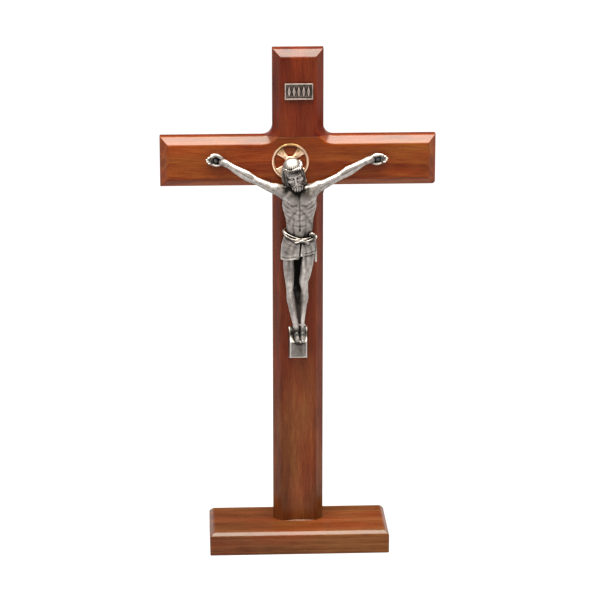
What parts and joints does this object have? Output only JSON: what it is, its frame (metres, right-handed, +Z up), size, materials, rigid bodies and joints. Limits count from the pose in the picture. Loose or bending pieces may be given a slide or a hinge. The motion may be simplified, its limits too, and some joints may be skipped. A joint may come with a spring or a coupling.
{
  "type": "crucifix",
  "caption": "Standing wooden crucifix with bevelled half-lapped boards on a block base, a cast silver-tone figure, gold-tone halo and cast head plaque.",
  "frame": {"origin": "centre of the base's underside, on the table", "axes": "+Z up the cross, +X to the viewer's right along the beam, the front of the cross faces -Y"},
  "size_m": [0.135, 0.039, 0.254],
  "materials": {
    "base_wood": "red-brown stained hardwood, grain along the length, clear lacquer",
    "upright_wood": "red-brown stained hardwood, vertical grain, clear lacquer",
    "crossbeam_wood": "red-brown stained hardwood, horizontal grain, clear lacquer",
    "antique_silver": "antique silver plating, polished on the high places and dark in the recesses",
    "gold_tone_brass": "polished gold-tone plating",
    "nail_steel": "nickel-plated steel",
    "plated_steel": "zinc-plated steel"
  },
  "bodies": {
    "root": {"base": "base_wood", "base_screw": "plated_steel", "upright": "upright_wood", "crossbeam": "crossbeam_wood", "titulus_plaque": "antique_silver", "halo": "gold_tone_brass", "corpus": "antique_silver", "hand_nails": "nail_steel", "foot_nails": "nail_steel"}
  },
  "joints": []
}
